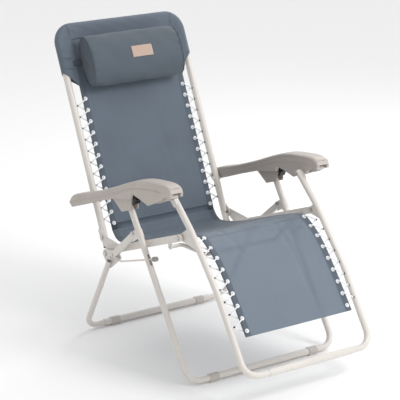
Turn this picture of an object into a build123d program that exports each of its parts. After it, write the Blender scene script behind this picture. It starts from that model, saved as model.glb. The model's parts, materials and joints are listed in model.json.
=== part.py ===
"""Zero gravity recliner: folding steel frame, laced fabric sling, sliding armrest locks.

Frame: X across the chair, +Y towards the back, +Z up, floor at Z = 0.
Side profiles are drawn as (forward, up) pairs: forward runs from the rear foot bar to the
foot end, so a point sits at Y = CENTRE - forward.
"""
from build123d import *
import math
import os

# ---------------------------------------------------------------- driving dimensions (mm)
CENTRE = 320.5            # forward distance of the bounding-box centre from the rear foot bar
STAND_X = 315.0           # half width of the front and rear stand, tube centre
BACK_X = 267.0            # half width of the back frame, tube centre
FOOT_X = 268.0            # half width of the footrest frame, tube centre
RAIL_X = 290.25           # half width of the seat rails, tube centre
ARM_X = 312.0             # half width of the armrests, centre line
SLING_X = 224.0           # half width of the sling
GROMMET_X = 214.0         # half width between the grommet rows

STAND_TUBE = 22.0
REAR_TUBE = 20.0
BACK_TUBE = 25.0
FOOT_TUBE = 22.0
CROSSBAR = 25.0
CROSSBAR_BORE = 22.2
WALL = 1.4
RAIL_WIDTH = 11.5
RAIL_HEIGHT = 25.0
FLOOR_AXIS = 14.5         # height of the foot crossbars' axis
SLING_THICK = 4.0
LACE_RISE = 7.5           # the cord crosses the grommets this far in front of the fabric
FIT = 0.05                # radial clearance of every pin in its hole

# ---------------------------------------------------------------- pivots (forward, up)
STAND_PIVOT = (333.0, 464.0)     # front stand to rear stand
SEAT_PIVOT = (125.0, 330.0)      # seat rail on the rear stand
BACK_PIVOT = (68.0, 370.0)       # back frame on the seat rail bracket
KNEE_PIVOT = (561.0, 500.0)      # footrest frame on the seat rail
ARM_PIVOT = (6.0, 491.0)         # armrest on the back tube
FRONT_PIVOT = (499.0, 621.0)     # footrest frame on the armrest
STAY_PIVOT = (216.0, 339.5)      # stay rod on the rear stand
LEVER_PIVOT = (508.0, 644.0)     # lock lever in the armrest nose
STAND_TOP = (299.0, 557.0)       # upper end of the front stand tube
STAND_FOOT = (655.0, FLOOR_AXIS)
REAR_TOP = (163.0, 315.0)
REAR_FOOT = (-3.0, FLOOR_AXIS)
STAY_GUIDE = (411.6, 386.0)      # where the stay rod crosses the front stand
BACK_LOW = (71.0, 335.0)
BACK_HIGH = (-259.0, 1074.0)
FOOT_PATH = [(492.0, 628.0), (600.0, 529.0), (752.0, 350.0), (912.0, 106.0)]
TRACK_ANGLE = math.degrees(math.atan2(FRONT_PIVOT[1] - ARM_PIVOT[1],
                                      FRONT_PIVOT[0] - ARM_PIVOT[0]))
BACK_GROMMETS = 12
LEG_GROMMETS = 9
BACK_LACING = ((-146.0, 830.0), (36.0, 404.0))     # first and last grommet of a row
LEG_LACING = [(597.0, 494.0), (676.0, 441.0), (752.0, 355.0), (840.0, 239.0)]

SIDES = {"left": 1, "right": -1}  # left and right of a person sitting in the chair


# ---------------------------------------------------------------- helpers
def spot(x, forward_up):
    """A point in space from its distance across and its (forward, up) pair."""
    return Vector(x, CENTRE - forward_up[0], forward_up[1])


def side_plane(x):
    """Sketch plane at X = x whose local axes are forward and up."""
    return Plane(origin=(x, CENTRE, 0), x_dir=(0, -1, 0), z_dir=(-1, 0, 0))


def along(start, end, distance):
    """The (forward, up) pair that lies a distance along the line from start to end."""
    length = math.dist(start, end)
    return tuple(a + (b - a) * distance / length for a, b in zip(start, end))


def tube(points, radius, diameter, wall=WALL):
    """A bent round tube along straight runs with tangent arcs."""
    with BuildPart() as piece:
        with BuildLine() as route:
            if len(points) > 2:
                FilletPolyline(*points, radius=radius)
            else:
                Line(*points)
        with BuildSketch(Plane(origin=route.line @ 0, z_dir=route.line % 0)):
            Circle(diameter / 2)
            if wall:
                Circle(diameter / 2 - wall, mode=Mode.SUBTRACT)
        sweep()
    return piece.part


def plate(x, thickness, eyes, holes=()):
    """A flat plate across x whose outline is the hull of round eyes (forward, up, radius)."""
    with BuildPart() as piece:
        with BuildSketch(side_plane(x)) as outline:
            for forward, up, radius in eyes:
                with Locations((forward, up)):
                    Circle(radius)
            make_hull(outline.edges())
            for forward, up, radius in holes:
                with Locations((forward, up)):
                    Circle(radius, mode=Mode.SUBTRACT)
        extrude(amount=thickness / 2, both=True)
    return piece.part


def pin(side, at, inner, outer, radius, heads=()):
    """A pin across the chair from inner to outer, with heads as (inner, outer, radius)."""
    with BuildPart() as piece:
        for start, end, size in [(inner, outer, radius), *heads]:
            with BuildSketch(side_plane(side * (start + end) / 2)):
                with Locations(at):
                    Circle(size)
            extrude(amount=(end - start) / 2, both=True)
    return piece.part


def bore(side, at, inner, outer, radius):
    """The cylinder that a pin's hole removes."""
    return pin(side, at, inner, outer, radius + FIT)


def save(solid, name):
    """Label a finished piece and write its STEP file."""
    solid.label = name
    export_step(solid, f"parts/{name}.step")


def save_group(solids, name):
    """Write separate solids that share one node."""
    save(Compound(children=[s for solid in solids for s in solid.solids()]), name)


os.makedirs("parts", exist_ok=True)


# ---------------------------------------------------------------- front stand
STAND_RUN = (spot(0, STAND_TOP) - spot(0, STAND_FOOT)).normalized() * -1


def front_leg(side):
    x = side * STAND_X
    inner_end = side * 205
    with BuildPart() as leg:
        add(tube([spot(x, STAND_TOP), spot(x, STAND_FOOT), spot(inner_end, STAND_FOOT)],
                 52, STAND_TUBE))
        # slot through the tube for the stay rod
        with BuildSketch(Plane(origin=spot(x, STAY_GUIDE), x_dir=(1, 0, 0),
                               z_dir=STAND_RUN.cross(Vector(1, 0, 0)))):
            with Locations((0, -2.5)):
                SlotOverall(42, 8.5, rotation=90)
        extrude(amount=16, both=True, mode=Mode.SUBTRACT)
    return leg.part


def foot_crossbar(forward_up, overlap_end):
    """A straight crossbar whose bores take the ends of two side tubes."""
    ends = [spot(-overlap_end, forward_up), spot(overlap_end, forward_up)]
    return tube(ends, 0, CROSSBAR, (CROSSBAR - CROSSBAR_BORE) / 2)


def foot_sleeve(side, forward_up, middle):
    """A moulded sleeve round a crossbar with a flat sole on the floor."""
    forward, up = forward_up
    with BuildPart() as sleeve:
        with BuildSketch(side_plane(side * middle)):
            with Locations((forward, up)):
                Circle(CROSSBAR / 2 + 2.2)
            with Locations((forward, up / 2)):
                Rectangle(20, up)
            with Locations((forward, up)):
                Circle(CROSSBAR / 2 + FIT, mode=Mode.SUBTRACT)
            with Locations((forward, -10)):
                Rectangle(60, 20, mode=Mode.SUBTRACT)
        extrude(amount=18, both=True)
    return sleeve.part


def apex_saddle(side):
    """A strap round the front stand tube whose two lugs carry the stand pivot."""
    forward, up = along(STAND_FOOT, STAND_TOP, math.dist(STAND_FOOT, STAND_TOP) - 108)
    lug = 3.0
    with BuildPart() as saddle:
        with BuildSketch(Plane(origin=spot(side * STAND_X, (forward, up)), x_dir=(1, 0, 0),
                               z_dir=spot(0, STAND_TOP) - spot(0, STAND_FOOT))):
            Circle(STAND_TUBE / 2 + 2)
            with Locations((0, 18)):
                Rectangle(STAND_TUBE + 2, 36)
            Circle(STAND_TUBE / 2, mode=Mode.SUBTRACT)
            with Locations((0, 20)):
                Rectangle(STAND_TUBE + 2 - 2 * lug, 40, mode=Mode.SUBTRACT)
            Circle(STAND_TUBE / 2, mode=Mode.SUBTRACT)
        extrude(amount=15, both=True)
        add(bore(side, STAND_PIVOT, STAND_X - 20, STAND_X + 20, 4 - FIT), mode=Mode.SUBTRACT)
    return saddle.part


def top_plug(side):
    """A moulded plug closing the upper end of the front stand tube."""
    start = along(STAND_TOP, STAND_FOOT, 12)
    end = along(STAND_FOOT, STAND_TOP, math.dist(STAND_FOOT, STAND_TOP) + 3)
    inside = tube([spot(side * STAND_X, start), spot(side * STAND_X, STAND_TOP)],
                  0, STAND_TUBE - 2 * WALL, 0)
    cap = tube([spot(side * STAND_X, STAND_TOP), spot(side * STAND_X, end)], 0, STAND_TUBE, 0)
    with BuildPart() as plug:
        add(inside)
        add(cap)
    return plug.part


for name, side in SIDES.items():
    save(front_leg(side), f"front_leg_{name}")
save(foot_crossbar(STAND_FOOT, 235), "front_crossbar")
save_group([foot_sleeve(s, STAND_FOOT, 214) for s in SIDES.values()], "front_foot_sleeves")
save_group([apex_saddle(s) for s in SIDES.values()], "apex_saddles")
save_group([top_plug(s) for s in SIDES.values()], "front_leg_plugs")
save_group([pin(s, STAND_PIVOT, STAND_X - 14, STAND_X + 14, 4 - FIT,
                [(STAND_X - 16, STAND_X - 12.2, 7), (STAND_X + 12.2, STAND_X + 17, 7)])
            for s in SIDES.values()], "apex_bolts")


# ---------------------------------------------------------------- rear stand
STRUT_LOW = (190.0, 343.0)
PLATE_X = 305.8           # middle of the flattened upper end of the rear leg
RIVETS = [(190.0, 343.0), (178.0, 331.0)]


def rear_leg(side):
    """The rear leg tube with its flattened upper end, which carries the seat pivot."""
    x = side * STAND_X
    with BuildPart() as leg:
        add(tube([spot(x, REAR_TOP), spot(x, REAR_FOOT), spot(side * 205, REAR_FOOT)],
                 52, REAR_TUBE))
        add(plate(side * PLATE_X, 5, [(*SEAT_PIVOT, 15), (196, 348, 13), (*STAY_PIVOT, 8),
                                      (150, 292, 10)]))
        add(bore(side, SEAT_PIVOT, 290, 330, 5), mode=Mode.SUBTRACT)
        for rivet in RIVETS:
            add(bore(side, rivet, 290, 330, 3.5 - FIT), mode=Mode.SUBTRACT)
        add(bore(side, STAY_PIVOT, 290, 330, 2.5 - FIT), mode=Mode.SUBTRACT)
    return leg.part


def rear_strut(side):
    """The flat-oval upper strut from the stand pivot down to the rear leg."""
    holes = [(*STAND_PIVOT, 4 + FIT)] + [(*rivet, 3.5) for rivet in RIVETS]
    outline = [(*STAND_PIVOT, 9.5), (308, 440, 11), (*STRUT_LOW, 12)]
    return plate(side * 315.0, 12, outline, holes)


for name, side in SIDES.items():
    save(rear_leg(side), f"rear_leg_{name}")
    save(rear_strut(side), f"rear_strut_{name}")
with BuildPart() as rear_crossbar:
    add(tube([spot(-235, REAR_FOOT), spot(235, REAR_FOOT)], 0, CROSSBAR,
             (CROSSBAR - REAR_TUBE) / 2 - 0.1))
save(rear_crossbar.part, "rear_crossbar")
save_group([foot_sleeve(s, REAR_FOOT, 190) for s in SIDES.values()], "rear_foot_sleeves")
save_group([pin(s, rivet, 303.3, 321.0, 3.5, [(300.3, 303.3, 6), (321.0, 323.5, 6.5)])
            for s in SIDES.values() for rivet in RIVETS], "strut_rivets")
save_group([pin(s, STAY_PIVOT, 303.3, 319.0, 2.5, [(301.5, 303.3, 5), (318.3, 321.0, 5)])
            for s in SIDES.values()], "stay_pins")

# ---------------------------------------------------------------- stay rods
STAY_BEND = (238.0, 333.0)
STAY_END = (459.0, 402.5)


def stay_rod(side):
    """The bent rod that stops the stand from opening too far."""
    x = side * 315.0
    eye_edge = along(STAY_PIVOT, STAY_BEND, 4)
    with BuildPart() as rod:
        add(tube([spot(x, eye_edge), spot(x, STAY_BEND), spot(x, STAY_END)], 18, 6, 0))
        add(plate(x, 5.4, [(*STAY_PIVOT, 5.6)]))
        add(bore(side, STAY_PIVOT, 300, 330, 2.5), mode=Mode.SUBTRACT)
    return rod.part


def stay_knob(side):
    """The rubber stop on the front end of a stay rod."""
    x = side * 315.0
    start = along(STAY_END, STAY_BEND, 16)
    with BuildPart() as knob:
        add(tube([spot(x, start), spot(x, along(STAY_END, STAY_BEND, -3))], 0, 17, 0))
        add(tube([spot(x, STAY_BEND), spot(x, STAY_END)], 0, 6, 0), mode=Mode.SUBTRACT)
    return knob.part


save_group([stay_rod(s) for s in SIDES.values()], "stay_rods")
save_group([stay_knob(s) for s in SIDES.values()], "stay_knobs")

# ---------------------------------------------------------------- seat rails
RAIL_REAR = (118.0, 336.0)
RAIL_INNER = RAIL_X - RAIL_WIDTH / 2
BRACKET_X = RAIL_INNER - 1.75
BRACE_LUG = (497.0, 450.0)


def seat_rail(side):
    """A flat-oval rail with rounded ends, from the seat pivot to the knee pivot."""
    half = RAIL_HEIGHT / 2
    holes = [(*SEAT_PIVOT, 5 + FIT), (*KNEE_PIVOT, 4 + FIT)]
    return plate(side * RAIL_X, RAIL_WIDTH, [(*RAIL_REAR, half), (*KNEE_PIVOT, half)], holes)


def rear_bracket(side):
    """The plate on the rail's inner face that carries the back pivot."""
    holes = [(*SEAT_PIVOT, 5 + FIT), (*BACK_PIVOT, 4 + FIT)]
    return plate(side * BRACKET_X, 3.5, [(*BACK_PIVOT, 13), (125, 334, 12), (196, 362, 10)],
                 holes)


def brace_lug(side):
    """The riveted lug under a rail that holds one end of the seat brace."""
    return plate(side * BRACKET_X, 3.5, [(497, 472, 9), (*BRACE_LUG, 9)], [(*BRACE_LUG, 3)])


BRACE_END = RAIL_INNER - 3.6
with BuildPart() as seat_brace:
    add(tube([spot(-BRACE_END, BRACE_LUG), spot(-235, BRACE_LUG), spot(-150, (520, 404)),
              spot(150, (520, 404)), spot(235, BRACE_LUG), spot(BRACE_END, BRACE_LUG)], 40, 13))

for name, side in SIDES.items():
    save(seat_rail(side), f"seat_rail_{name}")
save_group([rear_bracket(s) for s in SIDES.values()], "rail_rear_brackets")
save_group([brace_lug(s) for s in SIDES.values()], "brace_lugs")
save(seat_brace.part, "seat_cross_brace")
save_group([pin(s, (497, 472), BRACKET_X - 3.5, BRACKET_X - 1.75, 5) for s in SIDES.values()],
           "brace_rivets")
save_group([pin(s, SEAT_PIVOT, 279.2, 312, 5,
                [(276.5, RAIL_INNER - 3.8, 8), (296.4, 303.0, 9), (308.6, 313, 9)])
            for s in SIDES.values()], "seat_pivot_bolts")
save_group([pin(s, BACK_PIVOT, 271, 287, 4, [(RAIL_INNER + 0.3, 290, 7.5)])
            for s in SIDES.values()], "back_pivot_bolts")
save_group([pin(s, KNEE_PIVOT, 271, 300, 4, [(269.5, 273.7, 7.5), (296.3, 301, 8)])
            for s in SIDES.values()], "knee_pivot_bolts")

# ---------------------------------------------------------------- back frame
BACK_BEND = 62.0


def back_tube(side):
    """One side of the back frame with the pivot plate at its lower end."""
    x = side * BACK_X
    with BuildPart() as piece:
        add(tube([spot(x, BACK_LOW), spot(x, BACK_HIGH), spot(side * 150, BACK_HIGH)],
                 BACK_BEND, BACK_TUBE))
        add(plate(side * 277.6, 4.0, [(*BACK_PIVOT, 12), (62, 362, 12), (46, 388, 11)]))
        add(bore(side, BACK_PIVOT, 265, 290, 4), mode=Mode.SUBTRACT)
        add(bore(side, ARM_PIVOT, 240, 290, 4), mode=Mode.SUBTRACT)
    return piece.part


def back_end_cap(side):
    """The plug in the lower end of a back tube."""
    x = side * BACK_X
    low = along(BACK_HIGH, BACK_LOW, math.dist(BACK_HIGH, BACK_LOW) + 4)
    with BuildPart() as cap:
        add(tube([spot(x, BACK_LOW), spot(x, low)], 0, BACK_TUBE, 0))
        add(tube([spot(x, BACK_LOW), spot(x, along(BACK_LOW, BACK_HIGH, 10))], 0,
                 BACK_TUBE - 2 * WALL, 0))
    return cap.part


for name, side in SIDES.items():
    save(back_tube(side), f"back_tube_{name}")
save(tube([spot(-150, BACK_HIGH), spot(150, BACK_HIGH)], 0, BACK_TUBE), "back_top_bar")
save_group([back_end_cap(s) for s in SIDES.values()], "back_end_caps")
save_group([pin(s, ARM_PIVOT, 248, 292.5, 4, [(248.5, 254.0, 7.5), (279.9, 283.6, 8)])
            for s in SIDES.values()], "armrest_pivot_bolts")


# ---------------------------------------------------------------- footrest frame
def foot_tube(side):
    """One side of the footrest frame: flattened eye, long bow and bottom corner."""
    x = side * FOOT_X
    points = [spot(x, p) for p in FOOT_PATH] + [spot(side * 150, FOOT_PATH[-1])]
    with BuildPart() as piece:
        with BuildLine() as route:
            FilletPolyline(*points, radius=[300, 420, 55])
        with BuildSketch(Plane(origin=route.line @ 0, z_dir=route.line % 0)):
            Circle(FOOT_TUBE / 2)
            Circle(FOOT_TUBE / 2 - WALL, mode=Mode.SUBTRACT)
        sweep()
        add(plate(side * 275.5, 7.0, [(*FRONT_PIVOT, 12), (516, 605, 11)]))
        add(bore(side, FRONT_PIVOT, 250, 290, 4), mode=Mode.SUBTRACT)
    return piece.part


def knee_gusset(side, leg):
    """The welded plate that joins the footrest tube to the knee pivot."""
    with BuildPart() as piece:
        add(plate(side * 276.8, 4.4, [(*KNEE_PIVOT, 13), (596, 531, 7), (633, 484, 6)],
                  [(*KNEE_PIVOT, 4 + FIT)]))
        add(leg, mode=Mode.SUBTRACT)
    return max(piece.part.solids(), key=lambda s: s.volume)


foot_tubes = {name: foot_tube(side) for name, side in SIDES.items()}
for name, side in SIDES.items():
    save(foot_tubes[name], f"foot_tube_{name}")
save(foot_crossbar(FOOT_PATH[-1], 175), "foot_crossbar")
save_group([knee_gusset(side, foot_tubes[name]) for name, side in SIDES.items()],
           "knee_gussets")

# ---------------------------------------------------------------- armrests
ARM_WIDTH = 56.0
CHANNEL = 36.0            # width of the sliding track under the armrest
CHANNEL_X = STAND_X       # the track runs above the front stand tube
TOP_LINE = [(-66, 484), (-48, 507), (0, 528), (100, 558), (222, 603), (348, 654),
            (410, 672), (480, 682), (540, 686), (572, 677), (580, 664)]
LOW_LINE = [(574, 648), (540, 643), (517, 625), (480, 608), (447, 593), (400, 603),
            (352, 611), (340, 588), (230, 565), (90, 517), (-44, 467)]


def slope_line(forward, height):
    """Height of a line parallel to the track that passes the given height at T."""
    return height + (forward - 305) * math.tan(math.radians(TRACK_ANGLE))


def armrest(side):
    """The moulded armrest shell, open underneath along its sliding track."""
    with BuildPart() as piece:
        with BuildSketch(side_plane(side * ARM_X)):
            with BuildLine():
                Spline(*TOP_LINE)
                Polyline(TOP_LINE[-1], *LOW_LINE, TOP_LINE[0])
            make_face()
        extrude(amount=ARM_WIDTH / 2, both=True)
        long_edges = piece.edges().filter_by(GeomType.BSPLINE)
        fillet(long_edges, radius=9)
        # track channel over the front stand tube, open below
        with BuildSketch(side_plane(side * CHANNEL_X)):
            Polygon((138, 515), (470, 560), (470, slope_line(470, 610)),
                    (138, slope_line(138, 610)), align=None)
        extrude(amount=CHANNEL / 2, both=True, mode=Mode.SUBTRACT)
        # hollow rear end, open below
        with BuildSketch(side_plane(side * ARM_X)):
            Polygon((-30, 440), (160, 500), (160, 568), (100, 548), (0, 516), (-30, 500),
                    align=None)
        extrude(amount=ARM_WIDTH / 2 - 6, both=True, mode=Mode.SUBTRACT)
        add(bore(side, ARM_PIVOT, 270, 294, 4), mode=Mode.SUBTRACT)
        add(bore(side, FRONT_PIVOT, 270, 296, 4 - FIT), mode=Mode.SUBTRACT)
        # recess for the lock lever
        with BuildSketch(side_plane(side * ARM_X)):
            Polygon((480, 590), (590, 620), (590, 661), (556, 668), (480, 657), align=None)
        extrude(amount=17, both=True, mode=Mode.SUBTRACT)
    return piece.part


def track_strip(side):
    """The steel wear strip along the roof of the track."""
    with BuildPart() as piece:
        with BuildSketch(side_plane(side * CHANNEL_X)):
            Polygon((146, slope_line(146, 608)), (440, slope_line(440, 608)),
                    (440, slope_line(440, 610)), (146, slope_line(146, 610)), align=None)
        extrude(amount=15, both=True)
    return piece.part


def track_shoe(side):
    """The plastic shoe that runs under the wear strip."""
    with BuildPart() as piece:
        with BuildSketch(side_plane(side * CHANNEL_X)):
            Polygon((272, slope_line(272, 601)), (338, slope_line(338, 601)),
                    (338, slope_line(338, 607.5)), (272, slope_line(272, 607.5)), align=None)
        extrude(amount=14, both=True)
    return piece.part


def lock_slider(side):
    """The wedge-shaped slider whose two cheeks straddle the front stand tube."""
    outline = [(214, 561), (216, slope_line(216, 600.4)), (334, slope_line(334, 600.4)),
               (330, 548), (312, 541), (271, 526)]
    with BuildPart() as piece:
        with BuildSketch(side_plane(side * CHANNEL_X)):
            Polygon(*outline, align=None)
        extrude(amount=15.8, both=True)
        with BuildSketch(side_plane(side * CHANNEL_X)):
            Polygon((200, 500), (350, 500), (350, 574), (329, 574),
                    (327, slope_line(327, 596)), (200, slope_line(200, 596)), align=None)
        extrude(amount=12.6, both=True, mode=Mode.SUBTRACT)
    return piece.part


def lock_jaws(side):
    """The dark toothed jaw plates that grip the track in front of the slider."""
    with BuildPart() as piece:
        with BuildSketch(side_plane(side * CHANNEL_X)):
            Polygon((336.5, 573), (344, 570), (349, 582), (357, 588), (350, 594), (348, 604),
                    (341, 606), (336.5, 602), align=None)
        extrude(amount=12, both=True)
    return piece.part


def lock_lever(side):
    """The finger lever under the armrest nose."""
    with BuildPart() as piece:
        with BuildSketch(side_plane(side * ARM_X)):
            Polygon((494, 652), (512, 655), (548, 660), (566, 655), (570, 646), (548, 634),
                    (520, 622), (497, 628), align=None)
            with Locations(LEVER_PIVOT):
                Circle(3 + FIT, mode=Mode.SUBTRACT)
        extrude(amount=14, both=True)
        with BuildSketch(side_plane(side * ARM_X)):
            Polygon((524, 616), (560, 630), (560, 646), (524, 640), align=None)
        extrude(amount=8, both=True, mode=Mode.SUBTRACT)
    return piece.part


for name, side in SIDES.items():
    with BuildPart() as drilled_armrest:
        add(armrest(side))
        add(bore(side, LEVER_PIVOT, 285, 339, 3 - FIT), mode=Mode.SUBTRACT)
    save(drilled_armrest.part, f"armrest_{name}")
    save(lock_slider(side), f"slider_{name}")
    save(lock_lever(side), f"lock_lever_{name}")
save_group([track_strip(s) for s in SIDES.values()], "armrest_tracks")
save_group([track_shoe(s) for s in SIDES.values()], "track_shoes")
save_group([lock_jaws(s) for s in SIDES.values()], "lock_jaws")
save_group([pin(s, LEVER_PIVOT, 286, 338, 3) for s in SIDES.values()]
           + [pin(s, FRONT_PIVOT, 267, 294, 4, [(266, 271.7, 7), (279.3, 283.8, 8)])
            for s in SIDES.values()], "armrest_front_bolts")


# ---------------------------------------------------------------- sling and lacing
def path_points(points, count):
    """Evenly spaced (forward, up) pairs along straight runs."""
    lengths = [math.dist(a, b) for a, b in zip(points, points[1:])]
    places = []
    for number in range(count):
        left = sum(lengths) * number / (count - 1)
        run = 0
        while run < len(lengths) - 1 and left > lengths[run]:
            left -= lengths[run]
            run += 1
        places.append(along(points[run], points[run + 1], left))
    return places


def sling_panel(points, half_width=SLING_X):
    """A fabric panel of even thickness that follows a side profile."""
    with BuildPart() as piece:
        with BuildSketch(side_plane(0)):
            with BuildLine() as profile:
                Polyline(*points)
            trace(profile.line, line_width=SLING_THICK)
        extrude(amount=half_width, both=True)
    return piece.part


def row(points, count):
    """Grommet places in one row with the direction of the row at each."""
    places = path_points(points, count)
    for number, place in enumerate(places):
        low = places[max(number - 1, 0)]
        high = places[min(number + 1, count - 1)]
        yield place, (high[0] - low[0], high[1] - low[1])


def sheet_plane(x, place, direction):
    """A plane in the fabric: local x across the chair, local y up the row."""
    run = Vector(0, -direction[0], direction[1]).normalized()
    return Plane(origin=spot(x, place), x_dir=(1, 0, 0), z_dir=Vector(1, 0, 0).cross(run))


def disc(plane_here, radius, thickness, hole=0.0):
    """A flat disc or ring centred on a plane."""
    with BuildPart() as piece:
        with BuildSketch(plane_here):
            Circle(radius)
            if hole:
                Circle(hole, mode=Mode.SUBTRACT)
        extrude(amount=thickness / 2, both=True)
    return piece.part


def laced_panel(points, row_points, count):
    """A sling panel with its grommet holes, and the grommets that fill them."""
    planes = [sheet_plane(side * GROMMET_X, place, direction)
              for side in SIDES.values() for place, direction in row(row_points, count)]
    with BuildPart() as panel:
        add(sling_panel(points))
        for plane_here in planes:
            add(disc(plane_here, 6.4, 30), mode=Mode.SUBTRACT)
    grommets = [disc(plane_here, 6.3, 5.4, 3.2) for plane_here in planes]
    return panel.part, grommets


def lacing(side, row_points, count, reach):
    """The zigzag cord between a grommet row and the clips on the frame tube."""
    places = path_points(row_points, count)
    points = []
    for number, (place, direction) in enumerate(row(row_points, count)):
        front = sheet_plane(0, place, direction).z_dir * LACE_RISE
        points.append(spot(side * GROMMET_X, place) + front)
        if number < count - 1:
            points.append(spot(side * reach, along(place, places[number + 1],
                                                   math.dist(place, places[number + 1]) / 2)))
    return tube(points, 3.4, 5.0, 0)


def lacing_clips(row_points, count, reach, depth):
    """The small clips on a frame tube's inner side, one for each turn of the cord."""
    clips = []
    places = path_points(row_points, count)
    for side in SIDES.values():
        for low, high in zip(places, places[1:]):
            middle = along(low, high, math.dist(low, high) / 2)
            clips.append(pin(side, middle, reach, reach + depth, 3.4))
    return clips


BACK_PROFILE = [(-235.0, 1038.0), (-146.0, 830.0), (36.0, 404.0), (44.0, 386.0)]
SEAT_PROFILE = [(50.0, 372.0), (72.0, 357.0), (110.0, 354.0), (210.0, 378.0), (331.0, 420.0),
                (448.0, 462.0), (545.0, 492.0)]
LEG_PROFILE = [(572.0, 497.0), *LEG_LACING, (852.0, 223.0)]
back_sling, back_grommets = laced_panel(BACK_PROFILE, BACK_LACING, BACK_GROMMETS)
leg_sling, leg_grommets = laced_panel(LEG_PROFILE, LEG_LACING, LEG_GROMMETS)
save(back_sling, "back_sling")
save(sling_panel(SEAT_PROFILE), "seat_sling")
save(leg_sling, "leg_sling")
save_group(back_grommets, "back_grommets")
save_group(leg_grommets, "leg_grommets")
BACK_REACH = BACK_X - BACK_TUBE / 2 - 6
LEG_REACH = FOOT_X - FOOT_TUBE / 2 - 6
for name, side in SIDES.items():
    save(lacing(side, BACK_LACING, BACK_GROMMETS, BACK_REACH), f"back_lacing_{name}")
    save(lacing(side, LEG_LACING, LEG_GROMMETS, LEG_REACH), f"leg_lacing_{name}")
save_group(lacing_clips(BACK_LACING, BACK_GROMMETS, BACK_REACH + 2.8, 3.1),
           "back_lacing_clips")
save_group(lacing_clips(LEG_LACING, LEG_GROMMETS, LEG_REACH + 2.8, 3.1), "leg_lacing_clips")

# pocket of the sling that wraps the top bar and the upper corners of the back frame
LEAN = math.degrees(math.atan2(BACK_HIGH[0] - BACK_LOW[0], BACK_HIGH[1] - BACK_LOW[1]))
with BuildPart() as top_pocket:
    with BuildSketch(Plane(origin=spot(0, BACK_HIGH), x_dir=(0, -1, 0), z_dir=(-1, 0, 0))
                     .rotated((LEAN, 0, 0), ordering=Extrinsic.XYZ)):
        Circle(BACK_TUBE / 2 + 4)
        with Locations((0, -38)):
            Rectangle(BACK_TUBE + 8, 76)
        Circle(BACK_TUBE / 2 + 0.4, mode=Mode.SUBTRACT)
        with Locations((0, -58)):
            Rectangle(BACK_TUBE + 0.8, 117, mode=Mode.SUBTRACT)
    extrude(amount=281, both=True)
save(top_pocket.part, "top_pocket")

# ---------------------------------------------------------------- pillow
PILLOW_MIDDLE = (-148.6, 964.2)
PILLOW_HALF = 196.0
BACK_RUN = Vector(0, BACK_LOW[0] - BACK_HIGH[0], BACK_HIGH[1] - BACK_LOW[1]).normalized()
BACK_NORMAL = Vector(1, 0, 0).cross(BACK_RUN)
BACK_PLANE = Plane(origin=spot(0, along(BACK_HIGH, BACK_LOW, 136)), x_dir=(1, 0, 0),
                   z_dir=BACK_NORMAL)
with BuildPart() as pillow:
    with BuildSketch(Plane(origin=spot(0, PILLOW_MIDDLE), x_dir=(0, -1, 0), z_dir=(-1, 0, 0))
                     .rotated((LEAN, 0, 0), ordering=Extrinsic.XYZ)):
        Ellipse(46, 92)
    extrude(amount=PILLOW_HALF, both=True)
save(pillow.part, "pillow")
with BuildPart() as pillow_label:
    with BuildSketch(Plane(origin=spot(10, PILLOW_MIDDLE), x_dir=(0, -1, 0), z_dir=(-1, 0, 0))
                     .rotated((LEAN, 0, 0), ordering=Extrinsic.XYZ)):
        with Locations((46.8, 4)):
            Rectangle(1.2, 34)
    extrude(amount=45, both=True)
save(pillow_label.part, "pillow_label")

# elastic band that holds the pillow: behind the sling, round its edges, into the pillow
BAND_WIDTH = 20.0
BAND = [(0.0, 459.0, -6.5, -4.5), (228.5, 2.0, -6.5, 12.0), (213.5, 32.0, 10.0, 12.0)]
with BuildPart() as pillow_band:
    for middle, width, low, high in BAND:
        for sign in (1, -1) if middle else (1,):
            with BuildSketch(BACK_PLANE.offset(low)):
                with Locations((sign * middle, 0)):
                    Rectangle(width, BAND_WIDTH)
            extrude(amount=high - low)
save(pillow_band.part, "pillow_band")
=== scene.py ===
"""Looks for the zero gravity recliner: fabric, cord, padding, materials, light and camera."""
import json
import math

import bpy
from mathutils import Matrix, Vector


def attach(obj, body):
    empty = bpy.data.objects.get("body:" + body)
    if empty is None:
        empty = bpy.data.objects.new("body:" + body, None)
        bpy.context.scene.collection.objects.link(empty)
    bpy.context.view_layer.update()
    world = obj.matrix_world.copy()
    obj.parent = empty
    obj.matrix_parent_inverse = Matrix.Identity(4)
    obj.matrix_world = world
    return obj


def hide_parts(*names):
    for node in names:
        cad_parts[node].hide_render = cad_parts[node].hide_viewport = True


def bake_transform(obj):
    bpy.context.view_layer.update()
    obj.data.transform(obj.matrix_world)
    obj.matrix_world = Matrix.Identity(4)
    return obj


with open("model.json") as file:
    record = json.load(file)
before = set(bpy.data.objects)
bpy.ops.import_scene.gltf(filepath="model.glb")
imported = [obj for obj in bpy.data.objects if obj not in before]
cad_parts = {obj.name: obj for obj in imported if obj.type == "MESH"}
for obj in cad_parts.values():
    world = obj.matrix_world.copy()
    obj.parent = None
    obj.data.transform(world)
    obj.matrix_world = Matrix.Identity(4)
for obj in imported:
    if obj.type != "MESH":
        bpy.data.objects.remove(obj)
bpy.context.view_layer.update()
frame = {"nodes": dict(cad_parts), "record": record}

# ---------------------------------------------------------------- places, in millimetres
CENTRE = 320.5                    # forward distance of the model's middle
BACK_HIGH = (-259.0, 1074.0)      # axis of the top bar
RUN = (-0.40772, 0.91315)         # up along the back frame
FRONT = (0.91315, 0.40772)        # out of the back frame's front
SLING_HALF = 226.0                # half width of the sling
HEM = 24.0
GROMMET_X = 214.0                 # half width between the rows of eyelets
CLOTH_HALF = 0.7                  # half thickness of the mesh cloth
HEM_HALF = 0.75                   # what a hem adds to it


def spot(x, forward, up):
    return Vector((x, CENTRE - forward, up)) / 1000


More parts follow.
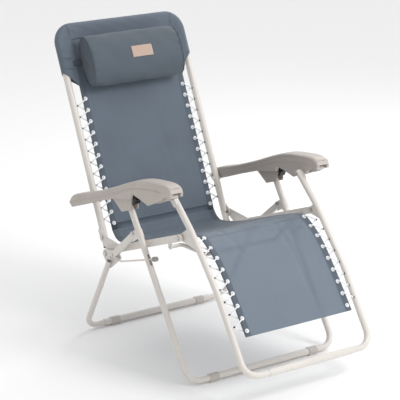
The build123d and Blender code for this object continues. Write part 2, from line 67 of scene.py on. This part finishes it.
def on_back(x, along, out):
    """A point from its distance up the back frame from the top bar, and in front of its axis."""
    return spot(x, BACK_HIGH[0] + along * RUN[0] + out * FRONT[0],
                BACK_HIGH[1] + along * RUN[1] + out * FRONT[1])


def ramp(value, low, high):
    """A smooth step from 0 at low to 1 at high."""
    t = min(max((value - low) / (high - low), 0.0), 1.0)
    return t * t * (3 - 2 * t)


# ---------------------------------------------------------------- materials
class Nodes:
    """Short calls for building a node tree."""

    def __init__(self, tree):
        self.tree = tree

    def add(self, kind, inputs=None, **settings):
        node = self.tree.nodes.new(kind)
        for key, value in settings.items():
            setattr(node, key, value)
        for key, value in (inputs or {}).items():
            if isinstance(value, bpy.types.NodeSocket):
                self.tree.links.new(value, node.inputs[key])
            else:
                node.inputs[key].default_value = value
        return node

    def math(self, operation, a, b=0.0, c=0.0):
        return self.add("ShaderNodeMath", {0: a, 1: b, 2: c}, operation=operation).outputs[0]

    def mix(self, factor, a, b):
        node = self.add("ShaderNodeMix", {0: factor, 6: a, 7: b}, data_type="RGBA")
        return node.outputs[2]

    def noise(self, place, scale, detail=3.0):
        return self.add("ShaderNodeTexNoise",
                        {"Vector": place, "Scale": scale, "Detail": detail}).outputs["Fac"]

    def span(self, value, low, high, to_low=0.0, to_high=1.0):
        return self.add("ShaderNodeMapRange",
                        {0: value, 1: low, 2: high, 3: to_low, 4: to_high}).outputs[0]


def material(name):
    made = bpy.data.materials.new(name)
    made.use_nodes = True
    nodes = Nodes(made.node_tree)
    surface = made.node_tree.nodes["Principled BSDF"]
    place = nodes.add("ShaderNodeTexCoord").outputs["Object"]
    return made, nodes, surface, place


def set_inputs(nodes, surface, **values):
    for key, value in values.items():
        socket = surface.inputs[key.replace("_", " ")]
        if isinstance(value, bpy.types.NodeSocket):
            nodes.tree.links.new(value, socket)
        else:
            socket.default_value = value


def solid_finish(name, colour, roughness, grain, depth, mottle=0.05, metallic=0.0, coat=0.0):
    """A painted, moulded or plated finish with a fine grain and a faint mottle."""
    made, nodes, surface, place = material(name)
    patch = nodes.span(nodes.noise(place, 14.0), 0.3, 0.7)
    darker = [c * (1 - mottle) for c in colour]
    tint = nodes.mix(patch, (*darker, 1), (*colour, 1))
    fine = nodes.noise(place, grain, 2.0)
    bump = nodes.add("ShaderNodeBump", {"Height": fine, "Strength": depth, "Distance": 0.0004})
    rough = nodes.span(nodes.noise(place, 40.0), 0.3, 0.7, roughness * 0.85, roughness * 1.15)
    set_inputs(nodes, surface, Base_Color=tint, Roughness=rough, Metallic=metallic,
               Normal=bump.outputs[0], Coat_Weight=coat, Coat_Roughness=0.25)
    return made


def woven(name, colour, see_through, pitch=1.7, edge=None):
    """Coarse woven mesh. The UV map is in metres across and along the cloth."""
    made, nodes, surface, place = material(name)
    uv = nodes.add("ShaderNodeTexCoord").outputs["UV"]
    across, along, _ = nodes.add("ShaderNodeSeparateXYZ", {0: uv}).outputs
    turns = 2 * math.pi / (pitch / 1000)
    warp = nodes.math("SINE", nodes.math("MULTIPLY", across, turns))
    weft = nodes.math("SINE", nodes.math("MULTIPLY", along, turns * 0.72))
    weave = nodes.math("MULTIPLY", warp, weft)
    shade = nodes.span(weave, -1.0, 1.0)
    wear = nodes.span(nodes.noise(place, 9.0), 0.25, 0.75, 0.0, 0.35)
    lit = [min(c * 1.28, 1) for c in colour]
    tint = nodes.mix(nodes.math("ADD", nodes.math("MULTIPLY", shade, 0.5), wear),
                     (*[c * 0.8 for c in colour], 1), (*lit, 1))
    cover = 1.0 - see_through
    if edge:
        inside = nodes.math("GREATER_THAN", nodes.math("ABSOLUTE", across), edge / 1000)
        tint = nodes.mix(inside, tint, (*[c * 0.72 for c in colour], 1))
        down = nodes.span(along, 1.18, 1.34, 0.0, 0.16)
        # painted highlight: the cloth is made lighter from the front of the seat over the knee bend
        # and along the leg panel
        leg = nodes.span(along, 1.12, 1.34, 0.0, 0.55)
        tint = nodes.mix(nodes.math("MULTIPLY", leg, nodes.math("SUBTRACT", 1.0, inside)), tint,
                         (*[min(c * 1.7, 1) for c in colour], 1))
        cover = nodes.math("MAXIMUM", nodes.math("SUBTRACT", cover, down), inside)
    bump = nodes.add("ShaderNodeBump", {"Height": weave, "Strength": 0.5, "Distance": 0.0004})
    set_inputs(nodes, surface, Base_Color=tint, Roughness=0.62, Alpha=cover,
               Normal=bump.outputs[0], Sheen_Weight=0.15, Sheen_Roughness=0.5)
    return made


MATERIALS = {
    "frame_paint": solid_finish("cream powder coat", (0.68, 0.64, 0.60), 0.34, 900.0, 0.12,
                                0.03, coat=0.25),
    "steel": solid_finish("zinc plate", (0.62, 0.60, 0.57), 0.34, 700.0, 0.2, 0.12, metallic=0.9),
    "arm_plastic": solid_finish("beige moulded plastic", (0.48, 0.435, 0.40), 0.48, 1500.0, 0.35,
                                0.05),
    "dark_plastic": solid_finish("dark moulded plastic", (0.016, 0.016, 0.017), 0.45, 1200.0,
                                 0.3, 0.2),
    "sleeve_plastic": solid_finish("pale moulded plastic", (0.52, 0.48, 0.45), 0.45, 1300.0,
                                   0.3, 0.05),
    "rubber": solid_finish("soft knob", (0.33, 0.31, 0.28), 0.7, 800.0, 0.4, 0.08),
    "sling_fabric": woven("slate mesh", (0.108, 0.140, 0.180), 0.03, edge=SLING_HALF - HEM),
    "pocket_fabric": woven("slate mesh, doubled", (0.100, 0.130, 0.168), 0.0, 1.7),
    "pillow_fabric": woven("dark padded mesh", (0.066, 0.088, 0.112), 0.0, 2.4),
    "label_fabric": woven("peach patch", (0.52, 0.385, 0.31), 0.0, 0.9),
    "band_elastic": woven("elastic webbing", (0.05, 0.06, 0.075), 0.0, 1.5),
    "cord": solid_finish("braided cord", (0.82, 0.84, 0.86), 0.6, 1400.0, 0.9, 0.08),
    "grommet_plastic": solid_finish("white eyelet", (0.84, 0.85, 0.87), 0.3, 600.0, 0.05, 0.02),
}


def dress(obj, slot, finish=None):
    """Gives an object the material of its slot, or of the finish given."""
    obj.data.materials.clear()
    obj.data.materials.append(MATERIALS[finish or slot])
    return obj


SLOTS = {part["node"]: part["material_slot"] for part in frame["record"]["subparts"]}
for name, node in frame["nodes"].items():
    dress(node, SLOTS[name])
    edges = node.modifiers.new("worn edges", "BEVEL")
    edges.width = 0.0006
    edges.segments = 2
    edges.limit_method = "ANGLE"
    edges.angle_limit = math.radians(40)
    edges.harden_normals = False


# ---------------------------------------------------------------- mesh makers
def grid_mesh(name, rows, uvs, closed=False):
    """A mesh from rows of points, joined across each row and from row to row."""
    width = len(rows[0])
    vertices = [point for row in rows for point in row]
    faces, corners = [], []
    columns = width if closed else width - 1
    for i in range(len(rows) - 1):
        for j in range(columns):
            k = (j + 1) % width
            faces.append((i * width + j, i * width + k, (i + 1) * width + k, (i + 1) * width + j))
            corners.append((uvs[i][j], uvs[i][j + 1], uvs[i + 1][j + 1], uvs[i + 1][j]))
    mesh = bpy.data.meshes.new(name)
    mesh.from_pydata(vertices, [], faces)
    layer = mesh.uv_layers.new(name="cloth")
    for face, corner in zip(mesh.polygons, corners):
        for loop, uv in zip(face.loop_indices, corner):
            layer.data[loop].uv = uv
        face.use_smooth = True
    mesh.update()
    obj = bpy.data.objects.new(name, mesh)
    bpy.context.scene.collection.objects.link(obj)
    return obj


def slab(name, rows, uvs, depth, facing=None):
    """A sheet with both its faces and its edges, where depth(i, j) is half its thickness."""
    normals = []
    for i, row in enumerate(rows):
        line = []
        for j in range(len(row)):
            low, high = rows[max(i - 1, 0)][j], rows[min(i + 1, len(rows) - 1)][j]
            left, right = row[max(j - 1, 0)], row[min(j + 1, len(row) - 1)]
            line.append(facing[i] if facing else (right - left).cross(high - low).normalized())
        normals.append(line)
    loops, loop_uvs = [], []
    for i, row in enumerate(rows):
        thick = [depth(i, j) / 1000 for j in range(len(row))]
        top = [row[j] + normals[i][j] * thick[j] for j in range(len(row))]
        base = [row[j] - normals[i][j] * thick[j] for j in range(len(row))]
        loops.append(top + base[::-1])
        loop_uvs.append(list(uvs[i]) + list(uvs[i])[::-1] + [uvs[i][0]])
    obj = grid_mesh(name, loops, loop_uvs, closed=True)
    return close_ends(obj, len(loops), len(loops[0]))


def close_ends(obj, rows, width):
    """Fills the open ends of a closed loop mesh with flat faces."""
    mesh = obj.data
    vertices = [v.co.copy() for v in mesh.vertices]
    faces = [tuple(p.vertices) for p in mesh.polygons]
    uvs = [tuple(mesh.uv_layers[0].data[k].uv) for p in mesh.polygons for k in p.loop_indices]
    half = width // 2
    sides = len(faces)
    for start in (0, (rows - 1) * width):
        for j in range(half - 1):
            face = (start + j, start + j + 1, start + width - 2 - j, start + width - 1 - j)
            faces.append(face if start == 0 else face[::-1])
            uvs += [(vertices[k].x, 0.0) for k in faces[-1]]
    mesh.clear_geometry()
    mesh.from_pydata(vertices, [], faces)
    layer = mesh.uv_layers.new(name="cloth")
    for number, uv in enumerate(uvs):
        layer.data[number].uv = uv
    for face in mesh.polygons:
        face.use_smooth = face.index < sides
    mesh.update()
    return obj


def smooth_line(points, step):
    """Evenly fine points on a smooth line through the given ones, with the index of each."""
    ends = [tuple(2 * a - b for a, b in zip(points[0], points[1])), *points,
            tuple(2 * a - b for a, b in zip(points[-1], points[-2]))]
    line, marks = [], []
    for k in range(1, len(ends) - 2):
        p0, p1, p2, p3 = ends[k - 1:k + 3]
        count = max(2, round(math.dist(p1, p2) / step))
        marks.append(len(line))
        for n in range(count):
            t = n / count
            line.append(tuple(
                0.5 * (2 * b + (c - a) * t + (2 * a - 5 * b + 4 * c - d) * t * t
                       + (3 * b - a - 3 * c + d) * t ** 3)
                for a, b, c, d in zip(p0, p1, p2, p3)))
    marks.append(len(line))
    line.append(tuple(points[-1]))
    return line, marks


def cord_curve(name, points, diameter, body, slot="cord"):
    """A round cord, seam or rib on a smooth line through the points."""
    curve = bpy.data.curves.new(name, "CURVE")
    curve.dimensions = "3D"
    curve.bevel_depth = diameter / 2000
    curve.bevel_resolution = 3
    curve.resolution_u = 6
    curve.use_fill_caps = True
    line = curve.splines.new("BEZIER")
    line.bezier_points.add(len(points) - 1)
    for knot, point in zip(line.bezier_points, points):
        knot.co = point
        knot.handle_left_type = knot.handle_right_type = "AUTO"
    obj = bpy.data.objects.new(name, curve)
    bpy.context.scene.collection.objects.link(obj)
    dress(obj, slot)
    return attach(obj, body)


# ---------------------------------------------------------------- the sling
PROFILE = [(-251, 1074), (-235, 1037), (-146, 830), (-55, 617), (36, 404), (46, 382), (72, 358),
           (110, 354), (210, 378), (331, 420), (448, 462), (545, 492), (572, 497), (597, 494),
           (676, 441), (752, 355), (840, 239), (852, 223)]
line, marks = smooth_line(PROFILE, 7.0)
travel = [0.0]
for a, b in zip(line, line[1:]):
    travel.append(travel[-1] + math.dist(a, b) / 1000)
COLUMNS = 56
# middle, lean across per metre, first and last distance along the sling, depth, width
CREASES = [(78, 40, 1.22, 1.66, 2.2, 7), (-150, 260, 1.26, 1.48, 1.6, 9),
           (-60, -330, 1.24, 1.44, 1.4, 10), (120, -150, 0.86, 1.10, 1.5, 12),
           (-110, 160, 0.80, 1.05, 1.5, 12), (60, 120, 0.30, 0.62, 0.9, 12)]
CROSS_FOLDS = [(1.40, 1.6, 0.012), (0.60, 1.2, 0.02)]


def creases(x, run):
    """How far the fabric dips along its packing folds and its pull lines at one place."""
    dip = 0.0
    for at_x, lean, low, high, deep, width in CREASES:
        gap = (x - at_x - lean * (run - low)) / width
        dip += deep * math.exp(-gap * gap) * ramp(run, low, low + 0.06) * (
            1 - ramp(run, high - 0.06, high))
    for run_at, deep, width in CROSS_FOLDS:
        gap = (run - run_at) / width
        dip += deep * math.exp(-gap * gap) * (1 - (x / SLING_HALF) ** 2)
    return dip


def sling_rows(first, last):
    rows, uvs, facing = [], [], []
    for i in range(first, last + 1):
        row, uv = [], []
        low, high = line[max(i - 1, 0)], line[min(i + 1, len(line) - 1)]
        length = math.dist(low, high)
        out = ((low[1] - high[1]) / length, (high[0] - low[0]) / length)
        bottom = ramp(travel[i], 0.62, 0.95) * (1 - ramp(travel[i], 1.12, 1.30))
        for j in range(COLUMNS + 1):
            x = SLING_HALF * (2 * j / COLUMNS - 1)
            middle = 1 - (x / SLING_HALF) ** 2
            sag = middle * (2.0 + 6.0 * bottom)
            sag += 0.5 * math.sin(travel[i] * 31 + x * 0.021) * middle
            sag += creases(x, travel[i])
            row.append(spot(x, line[i][0] - out[0] * sag, line[i][1] - out[1] * sag))
            uv.append((x / 1000, travel[i]))
        rows.append(row)
        uvs.append(uv)
        facing.append(Vector((0, -out[0], out[1])))
    return rows, uvs, facing


def sling_depth(first, last, count):
    def depth(i, j):
        x = abs(SLING_HALF * (2 * j / COLUMNS - 1))
        edge = ramp(x, SLING_HALF - HEM - 3, SLING_HALF - HEM + 1)
        end = ramp(travel[first + i], travel[-1] - 0.024, travel[-1] - 0.020)
        return CLOTH_HALF + HEM_HALF * max(edge, end)
    return depth


PARTS = [
    ("sling_back_panel", 0, 4, "back", None, "back_sling"),
    ("sling_rear_bend", 4, 6, "back", "seat", None),
    ("sling_seat_panel", 6, 11, "seat", None, "seat_sling"),
    ("sling_knee_bend", 11, 13, "seat", "footrest", None),
    ("sling_leg_panel", 13, 17, "footrest", None, "leg_sling"),
]
for name, low, high, body, next_body, node in PARTS:
    first, last = marks[low], marks[high]
    rows, uvs, facing = sling_rows(first, last)
    panel = slab(name, rows, uvs, sling_depth(first, last, len(rows)), facing)
    dress(panel, "sling_fabric")
    if next_body:
        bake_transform(panel)
    else:
        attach(panel, body)
        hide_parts(node)

# ---------------------------------------------------------------- pocket round the top bar
BEND = 60.0                       # radius of the frame's upper corners
SIDE_X = 267.0                    # half width between the axes of the back tubes
SLEEVE = 14.6                     # radius of the cloth round a tube
INNER = 47.0                      # how far it reaches inward from the tube's axis
FRONT_EDGE = 8.4                  # where its front and back layers meet the sling
BACK_EDGE = 4.2
LOW_END = {-1: -166, 1: -150}     # lower ends beside the sitter's right and left
SLANT = 0.95


def pocket_section():
    """Distance inward and out of the frame's axis, from the front edge round to the back."""
    section = []
    for k in range(9):
        t = k / 8
        d = INNER * (1 - t)
        section.append((d, FRONT_EDGE + (SLEEVE - FRONT_EDGE) * ramp(t, 0.0, 1.0)))
    for k in range(1, 12):
        angle = math.pi * k / 12
        section.append((-SLEEVE * math.sin(angle), SLEEVE * math.cos(angle)))
    for k in range(9):
        t = k / 8
        section.append((INNER * t, -SLEEVE + (SLEEVE + BACK_EDGE) * ramp(t, 0.0, 1.0)))
    return section


def pocket_rows():
    """The pocket from its lower right end, up, along the top bar and down to its left end."""
    rows, uvs = [], []
    section = pocket_section()
    stations = [("side", -1, k / 25) for k in range(26)]
    stations += [("bend", -1, k / 12) for k in range(1, 13)]
    stations += [("top", 0, k / 40) for k in range(1, 40)]
    stations += [("bend", 1, k / 12) for k in range(12, -1, -1)]
    stations += [("side", 1, k / 25) for k in range(24, -1, -1)]
    for number, (kind, side, t) in enumerate(stations):
        row, uv = [], []
        for place, (inward, out) in enumerate(section):
            if kind == "side":
                low = LOW_END[side] - SLANT * (inward + SLEEVE)
                x, along = side * (SIDE_X - inward), low + (-BEND - low) * t
            elif kind == "bend":
                turn = t * math.pi / 2
                reach = BEND - inward
                x = side * (SIDE_X - BEND + reach * math.cos(turn))
                along = -BEND + reach * math.sin(turn)
            else:
                x = (SIDE_X - BEND) * (2 * t - 1)
                along = -inward
            loose = 1 - ramp(abs(inward - 12), 0, 22)
            crease = 0.7 * math.sin(number * 0.9 + place) * loose
            row.append(on_back(x, along, out + (crease if out > 0 else -crease)))
            uv.append((number * 0.008, place * 0.006))
        rows.append(row)
        uvs.append(uv)
    return rows, uvs


rows, uvs = pocket_rows()
pocket = slab("top_pocket_cloth", rows, uvs, lambda i, j: CLOTH_HALF)
dress(pocket, "sling_fabric", "pocket_fabric")
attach(pocket, "back")
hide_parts("top_pocket")


def pocket_front(x, along):
    """How far the front of the pocket stands out at one place in a corner or along the top."""
    if abs(x) > SIDE_X - BEND and along > -BEND:
        inward = BEND - math.hypot(abs(x) - (SIDE_X - BEND), along + BEND)
    elif along > -INNER:
        inward = -along
    else:
        inward = SIDE_X - abs(x)
    if inward < 0:
        return math.sqrt(max(SLEEVE ** 2 - inward ** 2, 0.0))
    return FRONT_EDGE + (SLEEVE - FRONT_EDGE) * ramp(1 - inward / INNER, 0.0, 1.0)


for side, name in ((-1, "right"), (1, "left")):
    for label, x0, s0, x1, s1 in (("corner", 226, 11, 222, -36), ("upper", 278, -112, 236, -118),
                                  ("lower", 278, -150, 232, -158)):
        points = []
        for k in range(7):
            x, along = side * (x0 + (x1 - x0) * k / 6), s0 + (s1 - s0) * k / 6
            points.append(on_back(x, along, pocket_front(x, along) + 0.9))
        cord_curve(f"pocket_seam_{label}_{name}", points, 1.7, "back", "pillow_fabric")

# ---------------------------------------------------------------- pillow
PILLOW_MIDDLE = (-148.6, 964.2)
PILLOW_ALONG = ((PILLOW_MIDDLE[1] - BACK_HIGH[1]) * RUN[1]
                + (PILLOW_MIDDLE[0] - BACK_HIGH[0]) * RUN[0])
PILLOW_OUT = ((PILLOW_MIDDLE[1] - BACK_HIGH[1]) * FRONT[1]
              + (PILLOW_MIDDLE[0] - BACK_HIGH[0]) * FRONT[0])
PILLOW_LOW, PILLOW_HIGH = -200.0, 188.0
PILLOW_DEEP, PILLOW_TALL = 46.0, 95.0


def pillow_point(x, angle, grow=0.0):
    """A point of the stuffed cover at one distance across and one angle round it."""
    gap = min(x - PILLOW_LOW, PILLOW_HIGH - x)
    gather = math.exp(-gap / 22.0)
    swell = 1 - 0.05 * gather
    pleat = (1.5 * math.cos(17 * angle + 0.6 * math.sin(3 * angle)) * gather
             + 0.9 * math.sin(angle * 5 + x * 0.045) * math.sin(x * 0.021 + 1.1)
             + 0.5 * math.cos(angle * 9 - x * 0.06))
    sag = 1 + 0.035 * math.cos((x - 7) * math.pi / 195)
    deep = (PILLOW_DEEP * swell * sag + pleat * 0.8 + grow)
    tall = (PILLOW_TALL * swell + pleat + grow)
    out = PILLOW_OUT + deep * math.cos(angle)
    if math.cos(angle) < 0:
        out = PILLOW_OUT + (deep - 2) * math.cos(angle) * 0.94
    return on_back(x, PILLOW_ALONG + tall * math.sin(angle), out)


def pillow_cover():
    around, across = 96, 66
    rows, uvs = [], []
    for k in range(9):
        t = k / 9
        rows.append(cap_ring(PILLOW_LOW, -1, t, around))
    for i in range(across + 1):
        x = PILLOW_LOW + (PILLOW_HIGH - PILLOW_LOW) * i / across
        rows.append([pillow_point(x, 2 * math.pi * j / around) for j in range(around)])
    for k in range(8, -1, -1):
        rows.append(cap_ring(PILLOW_HIGH, 1, k / 9, around))
    for i, row in enumerate(rows):
        uvs.append([(i * 0.006, j * 0.0042) for j in range(len(row) + 1)])
    return rows, uvs


def cap_ring(x, side, t, around):
    """A ring of the end panel, from its middle at 0 to its seam at 1."""
    centre = on_back(x, PILLOW_ALONG, PILLOW_OUT)
    size = 0.03 + 0.97 * t
    dome = 7.0 * (1 - size ** 2.4) / 1000
    ring = []
    for j in range(around):
        edge = pillow_point(x, 2 * math.pi * j / around)
        point = centre + (edge - centre) * size
        ripple = 0.0007 * math.sin(2 * math.pi * j / around * 7 + 2) * size * (1 - size) * 4
        ring.append(point + Vector((side * (dome + ripple), 0, 0)))
    return ring


rows, uvs = pillow_cover()
pillow = grid_mesh("pillow_cover", rows, uvs, closed=True)
dress(pillow, "pillow_fabric")
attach(pillow, "headrest")
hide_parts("pillow")
for side, x in (("right", PILLOW_LOW), ("left", PILLOW_HIGH)):
    ring = [pillow_point(x, 2 * math.pi * j / 40, 0.8) for j in range(41)]
    cord_curve(f"pillow_piping_{side}", ring, 3.0, "headrest", "pillow_fabric")

LABEL_X, LABEL_HALF, LABEL_LOW, LABEL_HIGH = 10.0, 44.0, -14.0, 27.0
rows, uvs = [], []
for i in range(13):
    along = LABEL_LOW + (LABEL_HIGH - LABEL_LOW) * i / 12
    angle = math.asin(along / PILLOW_TALL)
    row = []
    for j in range(19):
        x = LABEL_X + LABEL_HALF * (2 * j / 18 - 1)
        row.append(pillow_point(x, angle, 1.1))
    rows.append(row)
    uvs.append([(j * 0.005, i * 0.0035) for j in range(19)])
label = slab("pillow_blank_label", rows, uvs, lambda i, j: 0.6)
dress(label, "label_fabric")
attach(label, "headrest")
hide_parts("pillow_label")

path = [(-190, 11), (-226, 11), (-236, 8), (-238, 2), (-234, -5), (-220, -7), (0, -7), (220, -7),
        (234, -5), (238, 2), (236, 8), (226, 11), (190, 11)]
fine, _ = smooth_line(path, 6.0)
rows = [[on_back(x, -136 + across, out) for across in (10, 5, 0, -5, -10)] for x, out in fine]
uvs = [[(across / 1000, i * 0.006) for across in (10, 5, 0, -5, -10)] for i in range(len(rows))]
band = slab("pillow_elastic_band", rows, uvs, lambda i, j: 0.8)
dress(band, "band_elastic")
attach(band, "headrest")
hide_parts("pillow_band")


# ---------------------------------------------------------------- eyelets and elastic lacing
def even_points(points, count):
    lengths = [math.dist(a, b) for a, b in zip(points, points[1:])]
    places = []
    for number in range(count):
        left, run = sum(lengths) * number / (count - 1), 0
        while run < len(lengths) - 1 and left > lengths[run]:
            left -= lengths[run]
            run += 1
        (f0, u0), (f1, u1) = points[run], points[run + 1]
        t = left / lengths[run]
        places.append((f0 + (f1 - f0) * t, u0 + (u1 - u0) * t))
    return places


def eyelet(middle, across, up, out, vertices, faces):
    """Adds a rounded ring that lies flat on the cloth to the lists."""
    first, big, small = len(vertices), 5.5 / 1000, 2.2 / 1000
    for i in range(20):
        a = 2 * math.pi * i / 20
        spoke = across * math.cos(a) + up * math.sin(a)
        for j in range(8):
            b = 2 * math.pi * j / 8
            vertices.append(middle + spoke * (big + small * math.cos(b))
                            + out * (small * math.sin(b)))
    for i in range(20):
        for j in range(8):
            faces.append(tuple(first + (i + di) % 20 * 8 + (j + dj) % 8
                               for di, dj in ((0, 0), (0, 1), (1, 1), (1, 0))))


def lace(part, body, points, count, reach):
    """The eyelets of one panel, and the elastic cord from them to the frame on both sides."""
    places = even_points(points, count)
    vertices, faces = [], []
    for side in (-1, 1):
        cord = []
        for number, (f, u) in enumerate(places):
            (f0, u0), (f1, u1) = places[max(number - 1, 0)], places[min(number + 1, count - 1)]
            up = Vector((0, -(f1 - f0), u1 - u0)).normalized()
            across = Vector((1, 0, 0))
            out = up.cross(across)
            if out.y > 0:
                out = -out
            middle = spot(side * GROMMET_X, f, u)
            eyelet(middle + out * 0.0022, across, up, out, vertices, faces)
            eyelet(middle - out * 0.0022, across, up, out, vertices, faces)
            cord += [middle - out * 0.0055, middle + out * 0.0060]
            if number < count - 1:
                nf, nu = places[number + 1]
                clip = spot(side * reach, (f + nf) / 2, (u + nu) / 2)
                cord += [middle * 0.45 + clip * 0.55 + out * 0.0062, clip + out * 0.001,
                         clip - out * 0.002,
                         spot(side * GROMMET_X, nf, nu) * 0.5 + clip * 0.5 - out * 0.0055]
        name = "left" if side > 0 else "right"
        lacing = cord_curve(f"{part}_elastic_lacing_{name}", cord, 5.2, body)
        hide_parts(f"{part}_lacing_{name}")
    mesh = bpy.data.meshes.new(f"{part}_eyelets")
    mesh.from_pydata(vertices, [], faces)
    for face in mesh.polygons:
        face.use_smooth = True
    rings = bpy.data.objects.new(f"{part}_eyelets", mesh)
    bpy.context.scene.collection.objects.link(rings)
    dress(rings, "grommet_plastic")
    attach(rings, body)
    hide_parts(f"{part}_grommets")


lace("back", "back", [(-146.0, 830.0), (36.0, 404.0)], 12, 248.5)
lace("leg", "footrest", [(597.0, 494.0), (676.0, 441.0), (752.0, 355.0), (840.0, 239.0)], 9, 251.0)

# ---------------------------------------------------------------- armrest pads and grooves
ARM_X = 312.0
PAD_HALF = 29.5
PAD_LINE = [(-64, 481), (-48, 503), (0, 524.5), (100, 554.5), (222, 599.5), (348, 650),
            (410, 668), (480, 678), (540, 682), (570, 674)]
GROOVE_LINE = [(-38, 484), (6, 505), (96, 533), (214, 576), (330, 622), (400, 640), (470, 651),
               (540, 656)]
for name, side in (("right", -1), ("left", 1)):
    pad_path, _ = smooth_line(PAD_LINE, 8.0)
    rows, uvs, facing = [], [], []
    for i, (f, u) in enumerate(pad_path):
        low, high = pad_path[max(i - 1, 0)], pad_path[min(i + 1, len(pad_path) - 1)]
        length = math.dist(low, high)
        out = ((low[1] - high[1]) / length, (high[0] - low[0]) / length)
        narrow = 1 - 0.16 * ramp(abs(i / (len(pad_path) - 1) - 0.5), 0.40, 0.5)
        row = []
        for j in range(13):
            x = PAD_HALF * narrow * (j / 6 - 1)
            drop = 3.2 * abs(j / 6 - 1) ** 3
            row.append(spot(side * ARM_X + x, f - out[0] * drop, u - out[1] * drop))
        rows.append(row)
        uvs.append([(j * 0.005, i * 0.008) for j in range(13)])
        facing.append(Vector((0, -out[0], out[1])))
    pad = slab(f"armrest_pad_{name}", rows, uvs, lambda i, j: 4.3, facing)
    dress(pad, "arm_plastic")
    rounding = pad.modifiers.new("rounded rim", "BEVEL")
    rounding.width = 0.0024
    rounding.segments = 3
    rounding.limit_method = "ANGLE"
    rounding.angle_limit = math.radians(50)
    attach(pad, "armrests")
    groove_path, _ = smooth_line(GROOVE_LINE, 8.0)
    for edge, x in (("outer", 340.4), ("inner", 283.6)):
        points = [spot(side * x, f, u) for f, u in groove_path[::3]]
        cord_curve(f"armrest_rib_{edge}_{name}", points, 2.6, "armrests", "arm_plastic")

# ---------------------------------------------------------------- light, backdrop, camera
world = bpy.data.worlds.new("white studio")
world.use_nodes = True
bpy.context.scene.world = world
nodes = Nodes(world.node_tree)
sky = world.node_tree.nodes["Background"]
direction = nodes.add("ShaderNodeTexCoord").outputs["Generated"]
sideways, _, height = nodes.add("ShaderNodeSeparateXYZ", {0: direction}).outputs
low = nodes.span(height, -0.75, -0.45, 0.42, 1.0)
shade = nodes.span(sideways, -0.9, 0.1, 0.62, 1.0)
world.node_tree.links.new(nodes.math("MULTIPLY", low, shade), sky.inputs["Strength"])
sky.inputs["Color"].default_value = (1, 1, 1, 1)


def softbox(name, place, aim, size, power):
    lamp = bpy.data.lights.new(name, "AREA")
    lamp.shape = "SQUARE"
    lamp.size = size
    lamp.energy = power
    obj = bpy.data.objects.new(name, lamp)
    bpy.context.scene.collection.objects.link(obj)
    obj.location = place
    obj.rotation_euler = (Vector(aim) - Vector(place)).to_track_quat("-Z", "Y").to_euler()
    return obj


softbox("key", (1.4, -3.0, 3.4), (0, 0, 0.5), 1.5, 70)
softbox("rim", (2.6, 1.2, 2.6), (0, 0, 0.6), 1.4, 22)

bpy.ops.mesh.primitive_plane_add(size=60, location=(0, 0, 0))
floor = bpy.context.object
floor.name = "floor"
floor_finish, floor_nodes, floor_surface, _ = material("white floor")
set_inputs(floor_nodes, floor_surface, Base_Color=(0.93, 0.93, 0.93, 1), Roughness=0.9)
floor.data.materials.append(floor_finish)

view = Vector((0.55608732, 0.78031832, -0.28612969)).normalized()
right = view.cross(Vector((0, 0, 1))).normalized()
up = right.cross(view)
roll = math.radians(0.188)
right, up = right * math.cos(roll) + up * math.sin(roll), up * math.cos(roll) - right * math.sin(roll)
camera_data = bpy.data.cameras.new("camera")
camera_data.lens = 157.15
camera_data.sensor_width = 36.0
camera = bpy.data.objects.new("camera", camera_data)
bpy.context.scene.collection.objects.link(camera)
camera.matrix_world = Matrix((
    (right.x, up.x, -view.x, -3.45867),
    (right.y, up.y, -view.y, (CENTRE - 5126.26) / 1000),
    (right.z, up.z, -view.z, 2.29243),
    (0, 0, 0, 1),
))
bpy.context.scene.camera = camera
bpy.context.scene.view_settings.view_transform = "Standard"
